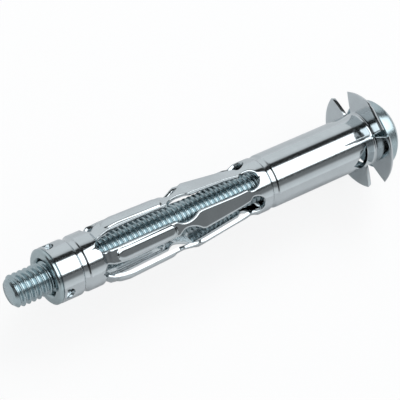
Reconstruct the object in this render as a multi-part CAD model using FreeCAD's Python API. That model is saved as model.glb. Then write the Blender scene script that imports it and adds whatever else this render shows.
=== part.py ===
"""Hollow wall anchor with its machine screw, lying along X.

A rolled sheet steel sleeve has a split flange at one end and six folding legs along its middle.
A threaded end nut is swaged into the far end, and a domed cross recess screw passes through both.
Millimetres. +X runs along the screw towards its head and +Z is up. The origin is the centre of the
flange's wall side. Angles are in degrees about +X, from +Y towards +Z, so 270 is the floor side.
"""
import FreeCAD
import Part
import math
import os

# Sheet and sleeve
wall = 0.65
tube_radius = 5.0
sleeve_length = 66.3
legs = 6
plain_length = 26.1
end_ring_length = 8.1

# Flange with four petals
flange_radius = 9.35
fold_radius = 0.5
wide_notch_angles = (17.0, 197.0)
wide_notch_rim = 17.5
wide_notch_base = 13.0
side_notch_angles = (110.5, 290.5)
side_notch_rim = 4.5
side_notch_base = 2.5

# Pointed windows in the tube under two of the petals
tooth_angles = (154.5, 334.5)
tooth_strip = 1.9
tooth_depth = 3.0
tooth_half_width = 3.1
tooth_point_offset = 0.55

# Rolled ring grooves
groove_width = 1.5
groove_depth = 0.32
tube_groove_to_root = 3.55
nut_groove_to_end = 4.65

# Flat legs, as stations along the sleeve and heights over or under the tube's outside
leg_tuck = 0.2
leg_overlap = 0.4
root_length = 1.1
root_drop = 0.4
crease_from_root = 12.2
crease_rise = 0.7
neck_from_crease = 3.6
neck_drop = 0.05
bulge_from_toe = 3.5
bulge_rise = 0.32
toe_from_ring = 1.65
toe_rise = 0.05
pinch_from_ring = 0.75
pinch_drop = 0.5
leg_blank_width = 4.6

# Slots between the legs
slot_width = 2.7
slot_past_ring = 0.2
slot_hole_radius = 1.8
slot_hole_from_root = 0.7
scallop_length = 4.3
scallop_depth = 0.75
scallop_towards_crease = 0.9

# Raised bead along each leg
bead_width = 2.3
bead_rise = 0.32
bead_from_neck = 1.7
bead_past_bulge = 2.6
bead_side_wall = 0.4

# End nut and the tabs that hold it
nut_rim_length = 0.85
nut_rim_chamfer = 0.35
nut_rim_inset = 0.03
nut_depth_in_sleeve = 6.3
swage_clearance = 0.03
tab_angles = (39.0, 159.0, 279.0)
tab_window_width = 2.2
tab_window_length = 1.6
tab_window_from_end = 0.4
tab_thickness = 0.4
tab_push = 0.45
tab_side_clearance = 0.2

# Screw
thread_radius = 2.92
thread_clearance = 0.05
thread_lead_in = 0.6
screw_length = 75.9
screw_tip_chamfer = 0.6
head_radius = 6.35
head_height = 5.0
head_side_height = 2.0
head_edge_radius = 0.6
head_stand_off = 1.35
recess_depth = 3.0
recess_span = 6.6
recess_floor_span = 3.4
recess_wing_width = 1.35
recess_core_radius = 1.7

ORIGIN = FreeCAD.Vector(0, 0, 0)
X_AXIS = FreeCAD.Vector(1, 0, 0)

leg_pitch = 360.0 / legs
leg_angles = [leg_pitch * number for number in range(legs)]
slot_angles = [angle + leg_pitch / 2 for angle in leg_angles]

# Stations along the axis, worked out from the sizes above
sleeve_end_x = -sleeve_length
leg_root_x = -plain_length
crease_x = leg_root_x - crease_from_root
neck_x = crease_x - neck_from_crease
end_ring_x = sleeve_end_x + end_ring_length
pinch_x = end_ring_x + pinch_from_ring
toe_x = end_ring_x + toe_from_ring
bulge_x = toe_x + bulge_from_toe
tube_groove_x = leg_root_x + tube_groove_to_root
nut_groove_x = sleeve_end_x + nut_groove_to_end
bead_start_x = neck_x - bead_from_neck
bead_end_x = bulge_x - bead_past_bulge
reach = flange_radius + 5.0
bore_space = thread_radius + 0.3


def turn(shape, angle):
    """A copy of the shape turned about the X axis."""
    copy = shape.copy()
    copy.rotate(ORIGIN, X_AXIS, angle)
    return copy


def rounded_edges(points):
    """Straight runs through (x, radius, bend) points, with a tangent arc at each bend."""
    places = [FreeCAD.Vector(x, radius, 0) for x, radius, _ in points]
    edges = []
    start = places[0]
    for before, corner, after, point in zip(places, places[1:], places[2:], points[1:]):
        bend = point[2]
        back = (before - corner).normalize()
        ahead = (after - corner).normalize()
        half_turn = (math.pi - back.getAngle(ahead)) / 2
        if bend == 0 or half_turn < 1e-6:
            edges.append(Part.makeLine(start, corner))
            start = corner
            continue
        arc_start = corner + back * (bend * math.tan(half_turn))
        arc_end = corner + ahead * (bend * math.tan(half_turn))
        inward = (back + ahead).normalize()
        arc_middle = corner + inward * (bend / math.cos(half_turn) - bend)
        edges.append(Part.makeLine(start, arc_start))
        edges.append(Part.Arc(arc_start, arc_middle, arc_end).toShape())
        start = arc_end
    edges.append(Part.makeLine(start, places[-1]))
    return edges


def shifted(points, distance):
    """The same path, moved sideways towards the axis and the head, keeping each bend's centre."""
    moved = []
    for number, (x, radius, bend) in enumerate(points):
        before = points[max(number - 1, 0)]
        after = points[min(number + 1, len(points) - 1)]
        into = direction(before, points[number]) if number else None
        out = direction(points[number], after) if number < len(points) - 1 else into
        into = into or out
        side = (-into[1] - out[1], into[0] + out[0])
        scale = distance / (1 + into[0] * out[0] + into[1] * out[1])
        turning = into[0] * out[1] - into[1] * out[0]
        new_bend = 0
        if bend:
            new_bend = max(bend - math.copysign(distance, turning), 0.05)
        moved.append((x + side[0] * scale, radius + side[1] * scale, new_bend))
    return moved


def direction(start, end):
    """Unit direction in the (x, radius) plane from one point to the next."""
    length = math.hypot(end[0] - start[0], end[1] - start[1])
    return ((end[0] - start[0]) / length, (end[1] - start[1]) / length)


def revolve_edges(edges):
    """A solid turned about the X axis from closed edges in the (x, radius) plane."""
    face = Part.Face(Part.Wire(edges))
    return face.revolve(ORIGIN, X_AXIS, 360)


def turned(points):
    """A solid turned about the X axis from a closed outline of (x, radius, bend) points."""
    edges = rounded_edges(points)
    edges.append(Part.makeLine(edges[-1].Vertexes[-1].Point, edges[0].Vertexes[0].Point))
    return revolve_edges(edges)


def sheet_face(outside, thickness):
    """The cut face of a sheet in the (x, radius) plane, from its outer path inwards."""
    inside = shifted(outside, thickness)
    ends = []
    for index in (0, -1):
        outer, inner = outside[index], inside[index]
        ends.append(Part.makeLine(FreeCAD.Vector(outer[0], outer[1], 0), FreeCAD.Vector(inner[0], inner[1], 0)))
    return Part.Face(Part.Wire(Part.__sortEdges__(rounded_edges(outside) + rounded_edges(inside) + ends)))


def turned_sheet(outside):
    """A sheet turned about the X axis, from its outer path."""
    return sheet_face(outside, wall).revolve(ORIGIN, X_AXIS, 360)


def flat_strip(outside, width):
    """A sheet strip that is flat across its width, from its outer path."""
    face = sheet_face(outside, wall)
    face.translate(FreeCAD.Vector(0, 0, -width / 2))
    return face.extrude(FreeCAD.Vector(0, 0, width))


def radial_prism(edges, inner, outer):
    """Closed edges in the (x, z) plane pushed along +Y, from one radius to another."""
    face = Part.Face(Part.Wire(Part.__sortEdges__(edges)))
    face.translate(FreeCAD.Vector(0, inner, 0))
    return face.extrude(FreeCAD.Vector(0, outer - inner, 0))


def polygon(points):
    """Closed straight edges through (x, z) points."""
    places = [FreeCAD.Vector(x, 0, z) for x, z in points]
    return [Part.makeLine(a, b) for a, b in zip(places, places[1:] + places[:1])]


def stadium(start, end, width):
    """A slot outline along X with half round ends, between two x places."""
    half = width / 2
    low, high = min(start, end) + half, max(start, end) - half
    corners = [FreeCAD.Vector(x, 0, z) for x, z in ((low, -half), (high, -half), (high, half), (low, half))]
    high_arc = Part.Arc(corners[1], FreeCAD.Vector(high + half, 0, 0), corners[2])
    low_arc = Part.Arc(corners[3], FreeCAD.Vector(low - half, 0, 0), corners[0])
    sides = [Part.makeLine(corners[0], corners[1]), Part.makeLine(corners[2], corners[3])]
    return sides + [high_arc.toShape(), low_arc.toShape()]


def radial_hole(x, radius, angle):
    """A round punch through one side of the tube."""
    punch = Part.makeCylinder(radius, reach, FreeCAD.Vector(x, 0, 0), FreeCAD.Vector(0, 1, 0))
    return turn(punch, angle)


def groove(centre, outside_radius):
    """Path points of a rolled ring groove."""
    half = groove_width / 2
    floor = half - groove_depth
    return [
        (centre + half, outside_radius, 0),
        (centre + floor, outside_radius - groove_depth, 0),
        (centre - floor, outside_radius - groove_depth, 0),
        (centre - half, outside_radius, 0),
    ]


def tube_path():
    """The outer side of the flange and the plain tube, up to the legs."""
    return (
        [(0, flange_radius, 0), (0, tube_radius, fold_radius)]
        + groove(tube_groove_x, tube_radius)
        + [(leg_root_x, tube_radius, 0)]
    )


def ring_path():
    """The outer side of the end ring that holds the nut."""
    return (
        [(end_ring_x, tube_radius, 0)]
        + groove(nut_groove_x, tube_radius)
        + [(sleeve_end_x, tube_radius, 0)]
    )


def leg_path():
    """The outer side of a leg, from inside the tube's end to inside the end ring."""
    return [
        (leg_root_x + leg_overlap, tube_radius - leg_tuck, 0),
        (leg_root_x, tube_radius - leg_tuck, 0),
        (leg_root_x - root_length, tube_radius - root_drop, 1.5),
        (crease_x, tube_radius + crease_rise, 0.35),
        (neck_x, tube_radius - neck_drop, 3.0),
        (bulge_x, tube_radius + bulge_rise, 4.0),
        (toe_x, tube_radius + toe_rise, 0.4),
        (pinch_x, tube_radius - pinch_drop, 0.3),
        (end_ring_x, tube_radius - leg_tuck, 0),
        (end_ring_x - leg_overlap, tube_radius - leg_tuck, 0),
    ]


def make_leg():
    """One leg at angle 0: a folded strip with a hollow bead, tucked into the tube and the ring."""
    leg = flat_strip(leg_path(), leg_blank_width)
    for x in (leg_root_x, end_ring_x - leg_overlap - 0.1):
        length = leg_overlap + 0.1
        place = FreeCAD.Vector(x, 0, 0)
        outside = Part.makeCylinder(reach, length, place, X_AXIS)
        leg = leg.cut(outside.cut(Part.makeCylinder(tube_radius - leg_tuck / 2, length, place, X_AXIS)))
    hollow = radial_prism(
        stadium(bead_start_x - bead_side_wall, bead_end_x + bead_side_wall, bead_width - 2 * bead_side_wall),
        bore_space, reach)
    raised = flat_strip(shifted(leg_path(), -bead_rise), bead_width)
    outline = radial_prism(stadium(bead_start_x, bead_end_x, bead_width), bore_space, reach)
    return leg.cut(hollow).fuse(raised.common(outline))


def scallop_outline():
    """The wider part of a slot at the neck, with an arc into each of the two legs."""
    half = slot_width / 2
    centre = neck_x + scallop_towards_crease
    low, high = centre - scallop_length / 2, centre + scallop_length / 2
    edges = []
    for x in (low, high):
        edges.append(Part.makeLine(FreeCAD.Vector(x, 0, -half), FreeCAD.Vector(x, 0, half)))
    for side in (-1, 1):
        deepest = FreeCAD.Vector(centre, 0, side * (half + scallop_depth))
        ends = [FreeCAD.Vector(x, 0, side * half) for x in (low, high)]
        edges.append(Part.Arc(ends[0], deepest, ends[1]).toShape())
    return edges


def slot_cutters():
    """The open spaces between the legs, each with a wider round hole at the tube."""
    hole_x = leg_root_x - slot_hole_from_root
    outline = stadium(end_ring_x - slot_past_ring, hole_x + slot_width / 2, slot_width)
    slot = radial_prism(outline, bore_space, reach)
    scallop = radial_prism(scallop_outline(), bore_space, reach)
    cutters = []
    for angle in slot_angles:
        cutters.append(turn(slot, angle))
        cutters.append(turn(scallop, angle))
        cutters.append(radial_hole(hole_x, slot_hole_radius, angle))
    return cutters


def notch(angle, base_half_angle, rim_half_angle):
    """A notch through the flange that opens towards its rim and ends at the tube."""
    corners = []
    sides = ((-1, tube_radius, base_half_angle), (-1, reach, rim_half_angle),
             (1, reach, rim_half_angle), (1, tube_radius, base_half_angle))
    for side, radius, half_angle in sides:
        place = math.radians(angle + side * half_angle)
        corners.append(FreeCAD.Vector(0, radius * math.cos(place), radius * math.sin(place)))
    face = Part.Face(Part.makePolygon(corners + corners[:1]))
    face.translate(X_AXIS * -(fold_radius + wall))
    return face.extrude(X_AXIS * (fold_radius + 3 * wall))


def tooth_window(angle):
    """The pointed window in the tube that a petal's tooth was folded from."""
    outline = polygon([
        (-tooth_strip, -tooth_half_width),
        (-tooth_strip - tooth_depth, tooth_point_offset),
        (-tooth_strip, tooth_half_width),
    ])
    return turn(radial_prism(outline, 1.0, tube_radius + 2), angle)


def make_sleeve():
    """The whole sleeve: flange, tube, legs with beads, and the ring that holds the nut."""
    leg = make_leg()
    body = turned_sheet(tube_path())
    body = body.fuse([turned_sheet(ring_path())] + [turn(leg, angle) for angle in leg_angles])
    body = body.cut(slot_cutters())
    notches = [notch(angle, wide_notch_base, wide_notch_rim) for angle in wide_notch_angles]
    notches += [notch(angle, side_notch_base, side_notch_rim) for angle in side_notch_angles]
    body = body.cut(notches + [tooth_window(angle) for angle in tooth_angles])
    window_start = sleeve_end_x + tab_window_from_end
    window = radial_prism(
        stadium(window_start - tab_window_width / 2, window_start + tab_window_length, tab_window_width),
        bore_space, reach)
    keep = Part.makeBox(reach, 4 * reach, 4 * reach,
                        FreeCAD.Vector(window_start, -2 * reach, -2 * reach))
    window = window.common(keep)
    body = body.cut([turn(window, angle) for angle in tab_angles])
    return body.fuse([turn(nut_tab(window_start), angle) for angle in tab_angles]).removeSplitter()


def nut_tab(window_start):
    """The tongue lanced from the sleeve and pushed into the nut's groove, for angle 0."""
    top = tube_radius
    root = window_start - wall / 2
    tip = window_start + tab_window_length - tab_side_clearance
    half = tab_window_width / 2 - tab_side_clearance
    points = [
        (root, top - 0.05), (root, top - wall),
        (tip, top - wall - tab_push), (tip, top - wall - tab_push + tab_thickness),
    ]
    places = [FreeCAD.Vector(x, radius, -half) for x, radius in points]
    face = Part.Face(Part.makePolygon(places + places[:1]))
    return face.extrude(FreeCAD.Vector(0, 0, 2 * half))


def make_nut():
    """The round end nut: a rim outside the sleeve, a swaged body inside it, and a plain bore."""
    body_radius = tube_radius - wall - swage_clearance
    rim_radius = tube_radius - nut_rim_inset
    face_x = sleeve_end_x - nut_rim_length
    inner_x = sleeve_end_x + nut_depth_in_sleeve
    bore_radius = thread_radius + thread_clearance
    tab_floor = body_radius - tab_push - swage_clearance
    tab_start = sleeve_end_x + tab_window_from_end - wall / 2
    tab_end = sleeve_end_x + tab_window_from_end + tab_window_length + swage_clearance
    ring = [(inner_x, tube_radius, 0)] + groove(nut_groove_x, tube_radius) + [(tab_end, tube_radius, 0)]
    swaged = shifted(ring, wall + swage_clearance)
    return turned([
        (face_x, bore_radius + thread_lead_in, 0),
        (face_x, rim_radius - nut_rim_chamfer, 0),
        (face_x + nut_rim_chamfer, rim_radius, 0),
        (sleeve_end_x, rim_radius, 0),
        (sleeve_end_x, body_radius, 0),
        (tab_start, body_radius, 0),
        (tab_end, tab_floor, 0),
    ] + swaged[::-1] + [
        (inner_x, bore_radius, 0),
        (face_x + thread_lead_in, bore_radius, 0),
    ])


def cross_recess(apex_x):
    """The tapered cross in the head, cut from its top."""
    floor_x = apex_x - recess_depth
    half = recess_wing_width / 2
    wing_points = [
        (apex_x + 0.5, -recess_span / 2), (floor_x, -recess_floor_span / 2),
        (floor_x, recess_floor_span / 2), (apex_x + 0.5, recess_span / 2),
    ]
    wing = radial_prism(polygon(wing_points), -half, half)
    core = Part.makeCone(recess_core_radius * 0.6, recess_core_radius, recess_depth + 0.5,
                         FreeCAD.Vector(floor_x, 0, 0), X_AXIS)
    return [wing, turn(wing, 90), core]


def make_screw():
    """The screw: a domed head a little off the flange and a shank that ends beyond the nut."""
    seat_x = wall + head_stand_off
    tip_x = seat_x - screw_length
    side_x = seat_x + head_side_height
    apex_x = seat_x + head_height
    dome_rise = apex_x - side_x
    dome_radius = (head_radius ** 2 + dome_rise ** 2) / (2 * dome_rise)
    half_angle = math.asin(head_radius / dome_radius) / 2
    dome_middle = FreeCAD.Vector(
        apex_x - dome_radius * (1 - math.cos(half_angle)), dome_radius * math.sin(half_angle), 0)
    rim = FreeCAD.Vector(side_x, head_radius, 0)
    apex = FreeCAD.Vector(apex_x, 0, 0)
    edges = rounded_edges([
        (tip_x, 0, 0), (tip_x, thread_radius - screw_tip_chamfer, 0),
        (tip_x + screw_tip_chamfer, thread_radius, 0), (seat_x, thread_radius, 0),
        (seat_x, head_radius, head_edge_radius), (side_x, head_radius, 0),
    ])
    edges.append(Part.Arc(rim, dome_middle, apex).toShape())
    edges.append(Part.makeLine(apex, FreeCAD.Vector(tip_x, 0, 0)))
    return revolve_edges(edges).cut(cross_recess(apex_x))


def main():
    """Write each piece to its own file."""
    os.makedirs("parts", exist_ok=True)
    pieces = {"sleeve": make_sleeve(), "nut": make_nut(), "screw": make_screw()}
    for name, shape in pieces.items():
        shape.exportStep(os.path.join("parts", name + ".step"))
        print(name, "solids", len(shape.Solids), "valid", shape.isValid(), "volume", round(shape.Volume, 2))


main()
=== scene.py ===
"""Looks of a hollow wall anchor: a plated sheet sleeve, its end nut and its machine screw."""
import math

import bmesh
import bpy
import numpy as np
from bpy.props import FloatProperty, FloatVectorProperty, PointerProperty
from mathutils import Matrix, Vector


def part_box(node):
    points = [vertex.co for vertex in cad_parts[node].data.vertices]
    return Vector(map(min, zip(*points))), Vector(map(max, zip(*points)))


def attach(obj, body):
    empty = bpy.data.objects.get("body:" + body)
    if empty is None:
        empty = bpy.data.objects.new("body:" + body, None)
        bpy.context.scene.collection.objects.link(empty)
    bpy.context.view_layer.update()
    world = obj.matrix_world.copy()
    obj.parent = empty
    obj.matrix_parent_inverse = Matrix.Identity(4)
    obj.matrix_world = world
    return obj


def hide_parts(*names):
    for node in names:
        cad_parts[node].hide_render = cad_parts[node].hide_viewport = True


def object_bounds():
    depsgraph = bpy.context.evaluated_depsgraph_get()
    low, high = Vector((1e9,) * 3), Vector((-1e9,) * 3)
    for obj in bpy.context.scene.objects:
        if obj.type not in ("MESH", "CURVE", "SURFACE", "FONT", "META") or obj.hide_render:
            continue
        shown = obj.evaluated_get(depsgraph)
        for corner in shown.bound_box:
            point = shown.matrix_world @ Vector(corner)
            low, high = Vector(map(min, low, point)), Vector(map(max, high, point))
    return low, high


bl_info = {
    "name": "Hollow wall anchor",
    "version": (1, 0, 0),
    "blender": (4, 5, 0),
    "location": "View3D > Sidebar > Anchor",
    "description": "Builds the plated sleeve, nut and screw of a hollow wall anchor round its CAD frame",
    "category": "Add Mesh",
}

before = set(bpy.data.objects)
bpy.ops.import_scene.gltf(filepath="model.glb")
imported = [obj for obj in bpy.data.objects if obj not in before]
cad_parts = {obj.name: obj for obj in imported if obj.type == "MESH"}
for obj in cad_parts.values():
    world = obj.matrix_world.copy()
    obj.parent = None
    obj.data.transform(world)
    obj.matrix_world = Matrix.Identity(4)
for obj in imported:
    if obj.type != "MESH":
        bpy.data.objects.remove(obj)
cad_bounds = [list(corner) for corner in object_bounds()]
sleeve_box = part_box("sleeve")
nut_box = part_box("nut")
screw_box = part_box("screw")

MM = 0.001

# Sleeve, in millimetres, from the flange's wall side towards the nut
TUBE_RADIUS = 5.0
SLEEVE_END = sleeve_box[0].x / MM
FLANGE_RADIUS = sleeve_box[1].y / MM
FOLD_RADIUS = 0.5
LEGS = 6
LEG_ROOT = -26.1
ROOT_VALLEY = -27.2
CREASE = -38.3
NECK = -41.9
END_RING = SLEEVE_END + 8.1
PINCH = END_RING + 0.75
TOE = END_RING + 1.65
BULGE = TOE + 3.5

# A leg's outline: x, radius and bend radius of each corner
LEG_CORNERS = (
    (LEG_ROOT + 0.2, TUBE_RADIUS, 0.6), (ROOT_VALLEY, 4.6, 1.5), (CREASE, 5.7, 0.35),
    (NECK, 4.95, 3.0), (BULGE, 5.32, 4.0), (TOE, 5.05, 0.3), (PINCH, 4.5, 0.25),
    (END_RING, TUBE_RADIUS, 0.3),
)

# How each leg of the photograph's sleeve stands: degrees turned, then rise at crease and bulge
LEG_BENDS = (
    (-14, -0.3, -0.25), (-7, 0.05, 0.1), (3, 0, 0), (8, 0, 0.3), (0, 0, 0), (0, 0, 0),
)
ROOT_BEND_RUN = 5
RING_BEND_RUN = 4

# Where a leg turns from round to flat across
FLAT_MARGIN = 0.3
RING_MARGIN = 0.1

# Ring grooves
GROOVE_WIDTH = 1.5
GROOVE_DEPTH = 0.34
GROOVE_BEND = 0.32
TUBE_GROOVE = LEG_ROOT + 3.55
NUT_GROOVE = SLEEVE_END + 4.65

# Slots between the legs, and how their outer edges roll over
SLOT_HOLE = LEG_ROOT - 0.7
SLOT_HOLE_RADIUS = 1.8
SLOT_LOW = END_RING - 0.2
SCALLOP_CENTRE = NECK + 0.9
SCALLOP_LENGTH = 4.3
SCALLOP_DEPTH = 0.75
EDGE_ROLL = 0.3
EDGE_DROP = 0.2
OUTER_SIDE = -0.16

# Bead on each leg
BEAD_START = NECK - 1.7
BEAD_END = BULGE - 2.6
BEAD_WIDTH = 2.4
BEAD_EDGE = 0.9

# Mesh across a leg: its columns, the share of them on the bead, and how the others crowd
LEG_COLUMNS = 32
BEAD_SHARE = 0.6875
LEAST_BEAD_SHARE = 0.5
MOST_BEAD_SHARE = 0.92
LEAST_LEG_WIDTH = 0.1
BEAD_APPROACH = 0.8
CROWDING = 0.6
CROWD_RUN = 0.6

# Mesh along the legs: its two ends, and the steps between rows
PATCH_TOP = LEG_ROOT + 1.5
PATCH_BOTTOM = SLOT_LOW - 0.4
ROUND_ROWS = 17
BEAD_MARGIN = 0.1
BEAD_REACH = 1.3
BEAD_STEP = 0.12
SCALLOP_REACH = 2.3
SCALLOP_STEP = 0.22
PLAIN_STEP = 0.9
LEAST_STEP = 0.03
PATCH_GAP = 0.01
END_ROWS = (0.3, 0.15, 0.05, 0)

# Flange: where its petals part, in degrees about +X from +Y towards +Z
COLUMN_STEP = 360.0 / LEGS / LEG_COLUMNS
PETAL_SPLITS = (16.875, 110.625, 196.875, 290.625)
PETALS = len(PETAL_SPLITS)
NOTCH_BASES = (13.0, 2.5, 13.0, 2.5)
NOTCH_RIMS = (17.5, 4.5, 17.5, 4.5)
NOTCH_ROUND = 0.45

# Flange: the rows of its rim and fold, and of the stretch of tube that is made with it
FLANGE_JOIN = -8.0
RIM_ROWS = 8
RIM_GAP = 0.1
FOLD_ROWS = 9
TUBE_ROWS = (-0.9, -1.6, -2.6, -4.0, -5.2, -6.0, -7.0, FLANGE_JOIN)

# Pointed windows under two of the petals
TOOTH_ANGLES = (154.5, 334.5)
TOOTH_STRIP = 1.9
TOOTH_DEPTH = 3.0
TOOTH_HALF_WIDTH = 3.1
TOOTH_POINT = 0.55
TOOTH_CUT_RADII = (1, 7)

# Seam of the rolled sheet
SEAM_ANGLE = 106.875
SEAM_HALF_ANGLE = 0.9
SEAM_LENGTH = 7.0
SEAM_DEPTH = 0.12
SEAM_FADE = 1.5

# Slope of the flange's rim, and bend of its near petal
RIM_SLOPE = 0.3
RIM_BACK = 0.3
RIM_MARGIN = 0.05
LEAN_TOWARDS = 100.0
LEAN_START = 8.1

# End ring windows and the tongues in them
TAB_ANGLES = (39.0, 159.0, 279.0)
TAB_WIDTH = 2.2
TAB_LENGTH = 1.6
TAB_START = SLEEVE_END + 0.4
TAB_CUT_RADII = (3, 7)
TAB_END_POINTS = 9
TAB_ROOT = 0.3
TAB_CLEARANCE = 0.2
TAB_TOP = TUBE_RADIUS - 0.05
TAB_LOW = TUBE_RADIUS - 0.65
TAB_PUSH = 0.45
TAB_THICKNESS = 0.4

# Screw
HEAD_SEAT = 2.0
HEAD_SIDE = 4.0
HEAD_TOP = 7.0
HEAD_FILLET = 0.3
HEAD_RIM = 0.6
DOME_ROWS = 22
SCREW_TIP = screw_box[0].x / MM
TIP_BEVEL = 0.8
TIP_ROW = 1.0
HEAD_RADIUS = screw_box[1].y / MM
RECESS_DEPTH = 3.0
RECESS_ABOVE = 0.5
RECESS_TOP = 3.3
RECESS_FOOT = 1.7
RECESS_HALF_WIDTH = 0.68
SCREW_COLUMNS = 56
THREAD_ROWS = 12
THREAD_STOP = -8.0
THREAD_FADE = 2
CREST_SHARE = 0.06
FLANK_SHARE = 0.32
SHANK_RADIUS = 2.68
SHANK_ROW = -3

# Nut
NUT_FACE = nut_box[0].x / MM
NUT_INNER = nut_box[1].x / MM
NUT_RADIUS = nut_box[1].y / MM
NUT_COLUMNS = 96
BORE_CLEARANCE = 0.07
BORE_BEVEL = 0.6
BORE_BEND = 0.1
BODY_CLEARANCE = 0.04
BODY_STEP = 0.5
BODY_ROW = 2.0
FACE_IN = 0.35
FACE_RUN = 0.3
FACE_BEND = 0.15
JOINT_RUN = 0.18
JOINT_BEND = 0.05
JOINT_DROP = 0.2
JOINT_GAP = 0.02

# Merging of doubles, turns too small for an arc, and edges that are rounded
MERGE_DISTANCE = 1e-4 * MM
CUTTER_MERGE = 1e-9
LEAST_TURN = 1e-4
SHARP_ANGLE = math.radians(50)

# Plating: shades of its clouds, spread of its roughness, and size and bump of its specks
CLOUD_SHADES = (0.9, 1.08)
CLOUD_SIZE = 350
GLOSS_SPREAD = 0.1
SPECK_SIZE = 3500
SPECK_BUMP = 0.06
SPECK_HEIGHT = 0.02 * MM
NUT_ROUGHER = 0.05
SCREW_ROUGHER = 0.14

# Directions of the photograph in the object's frame
ROLL = math.radians(15.0)
IMAGE_ROLL = math.radians(23.6425)
VIEW_CENTRE = -34.9
VIEW_LIFT = 1.5

# Light on the metal: degrees about +X from +Y towards +Z, and brightness
BANDS = (
    (-100, 0.85), (36, 0.88), (46, 0.7), (49, 0.03), (69, 0.03), (71, 2.6),
    (121, 2.6), (123, 0.07), (130, 0.09), (134, 0.22), (147, 0.24), (155, 0.72), (176, 0.92),
)
BAND_TINT = (0.97, 1, 1.02)
FIRST_BAND = (0.82, 0.85, 0.88, 1)

# The light's dark ends along X: middle, start and full reach, and what is left there
ENDS_MIDDLE = 0.07
ENDS_START = 0.64
ENDS_FULL = 0.76
ENDS_LEVEL = 0.08

# Floor and lamp, in metres and watts
FLOOR_GAP = 0.01 * MM
FLOOR_HALF = 1.5
FLOOR_COLOUR = (0.86, 0.88, 0.9, 1)
FLOOR_GLOW = 1.05
LAMP_PLACE = (0.4, 0.5, 0.75)
LAMP_POWER = 3.4
LAMP_SIZE = 0.5


class AnchorSizes(bpy.types.PropertyGroup):
    """Sizes that a user would change."""

    wall: FloatProperty(
        name="Sheet thickness", description="Thickness of the sleeve's sheet",
        default=0.65 * MM, min=0.3 * MM, max=1.0 * MM, precision=5, unit="LENGTH")
    slot_width: FloatProperty(
        name="Slot width", description="Width of the slots between the legs",
        default=2.7 * MM, min=1.5 * MM, max=3.2 * MM, precision=5, unit="LENGTH")
    bead_rise: FloatProperty(
        name="Bead height", description="How far the bead stands out of each leg",
        default=0.32 * MM, min=0.0, max=0.6 * MM, precision=5, unit="LENGTH")
    petal_lean: FloatProperty(
        name="Petal lean", description="How far the rim of the near petal is bent towards the wall",
        default=0.9 * MM, min=0.0, max=1.5 * MM, precision=5, unit="LENGTH")
    edge_round: FloatProperty(
        name="Edge rounding", description="Rounding of the punched edges",
        default=0.06 * MM, min=0.0, max=0.2 * MM, precision=5, unit="LENGTH")
    thread_radius: FloatProperty(
        name="Thread radius", description="Outer radius of the screw's thread",
        default=2.9 * MM, min=2.0 * MM, max=2.92 * MM, precision=5, unit="LENGTH")
    thread_depth: FloatProperty(
        name="Thread depth", description="Depth of the screw's thread",
        default=0.6 * MM, min=0.1 * MM, max=0.8 * MM, precision=5, unit="LENGTH")
    thread_pitch: FloatProperty(
        name="Thread pitch", description="Distance from one turn of the thread to the next",
        default=1.0 * MM, min=0.5 * MM, max=1.5 * MM, precision=5, unit="LENGTH")


class AnchorFinish(bpy.types.PropertyGroup):
    """Colours and gloss of the plating."""

    sleeve_colour: FloatVectorProperty(
        name="Sleeve colour", description="Colour of the sleeve's zinc plating", subtype="COLOR",
        size=3, min=0, max=1, default=(0.57, 0.615, 0.635))
    nut_colour: FloatVectorProperty(
        name="Nut colour", description="Colour of the nut's zinc plating", subtype="COLOR",
        size=3, min=0, max=1, default=(0.42, 0.50, 0.52))
    # Painted shade: the screw's zinc is set darker and tealer than the sleeve's, standing in for the
    # shadow inside the sleeve
    screw_shaded_colour: FloatVectorProperty(
        name="Screw colour", description="Colour of the screw's zinc plating", subtype="COLOR",
        size=3, min=0, max=1, default=(0.42, 0.51, 0.54))
    roughness: FloatProperty(
        name="Roughness", description="Roughness of the plating", default=0.12, min=0.0, max=1.0)


class AnchorStage(bpy.types.PropertyGroup):
    """Camera and light."""

    camera_distance: FloatProperty(
        name="Camera distance", description="From the camera to the middle of the view",
        default=291 * MM, min=50 * MM, max=2.0, precision=4, unit="LENGTH")
    camera_lens: FloatProperty(
        name="Lens", description="Focal length of the camera", default=150.75, min=20, max=400,
        unit="CAMERA")
    camera_tilt: FloatProperty(
        name="Axis to view", description="Angle between the screw's axis and the line of sight",
        default=math.radians(62.5), min=0, max=math.pi, subtype="ANGLE")
    plain_light: FloatProperty(
        name="Even light", description="Strength of the even light from all sides",
        default=0.6, min=0, max=2)
    shadow: FloatProperty(
        name="Shadow", description="How much of the object's shadow the floor shows",
        default=0.2, min=0, max=1)


def rounded_path(points, bend_rows):
    """Points along straight runs with a tangent arc at each bend, as (x, radius) rows.

    Each corner is (x, radius, bend). An arc of that bend radius touches both runs, at the bend
    times the tangent of half the turn from the corner, and is sampled at bend_rows equal angles.
    """
    corners = np.array([point[:2] for point in points], float)
    rows = [corners[:1]]
    for before, corner, after, point in zip(corners, corners[1:], corners[2:], points[1:]):
        back = (before - corner) / np.linalg.norm(before - corner)
        ahead = (after - corner) / np.linalg.norm(after - corner)
        half_turn = (math.pi - math.acos(np.clip(back @ ahead, -1, 1))) / 2
        if point[2] == 0 or half_turn < LEAST_TURN:
            rows.append(corner[None])
            continue
        middle = (back + ahead) / np.linalg.norm(back + ahead)
        centre = corner + middle * point[2] / math.cos(half_turn)
        sweep = np.linspace(-half_turn, half_turn, bend_rows)[:, None]
        across = (ahead - back) / np.linalg.norm(ahead - back)
        rows.append(centre - middle * point[2] * np.cos(sweep) + across * point[2] * np.sin(sweep))
    rows.append(corners[-1:])
    return np.concatenate(rows)


def ring_grooves(centre):
    """Corners of a rolled ring groove: its sides fall by its depth over the same length."""
    half, floor = GROOVE_WIDTH / 2, GROOVE_WIDTH / 2 - GROOVE_DEPTH
    low = TUBE_RADIUS - GROOVE_DEPTH
    return [
        (centre + half, TUBE_RADIUS, GROOVE_BEND), (centre + floor, low, GROOVE_BEND),
        (centre - floor, low, GROOVE_BEND), (centre - half, TUBE_RADIUS, GROOVE_BEND),
    ]


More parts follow.
